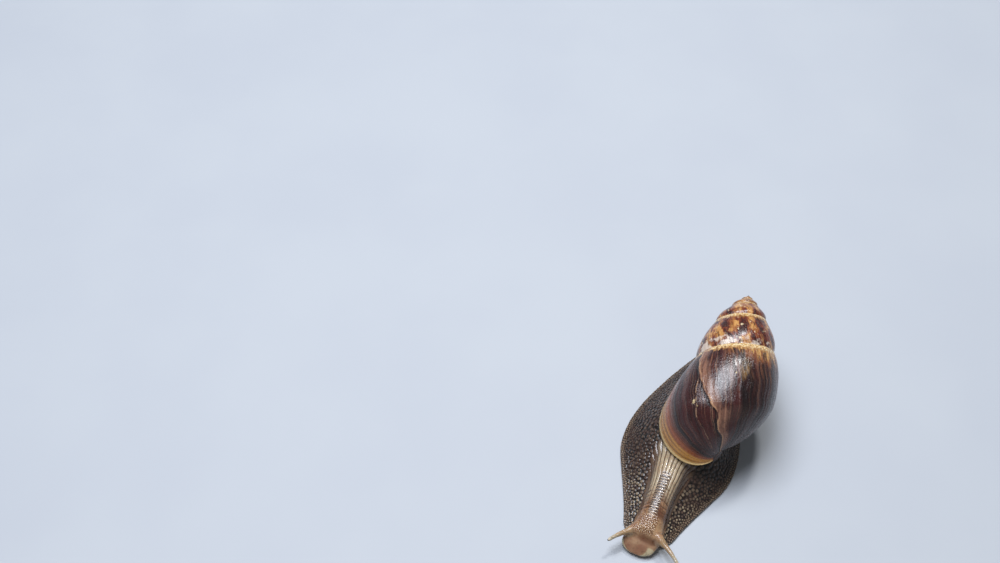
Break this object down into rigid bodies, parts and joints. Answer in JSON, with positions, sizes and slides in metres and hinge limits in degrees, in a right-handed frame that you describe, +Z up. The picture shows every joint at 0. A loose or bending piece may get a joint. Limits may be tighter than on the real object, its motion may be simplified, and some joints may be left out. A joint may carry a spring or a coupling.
{
  "type": "giant african land snail, life-size still model",
  "caption": "Crawling giant land snail with a tall right-handed spiral shell, stretched neck, raised feelers and a broad flat sole.",
  "frame": {"origin": "middle of the model's footprint box, on the plane of the sole", "axes": "+Z up, -Y towards the head, +Y towards the tail, +X to the animal's left"},
  "size_m": [0.0564, 0.1202, 0.048],
  "materials": {
    "shell": "glossy layered shell, brown with tan streaks",
    "flesh": "moist, finely knobbed skin, satin",
    "eye": "wet, nearly black"
  },
  "bodies": {
    "root": {"shell": "shell", "mantle_collar": "flesh", "head": "flesh", "lips": "flesh", "neck": "flesh", "trunk": "flesh", "foot": "flesh", "tail": "flesh", "upper_tentacle_left": "flesh", "upper_tentacle_right": "flesh", "lower_tentacle_left": "flesh", "lower_tentacle_right": "flesh", "eye_left": "eye", "eye_right": "eye"}
  },
  "joints": []
}
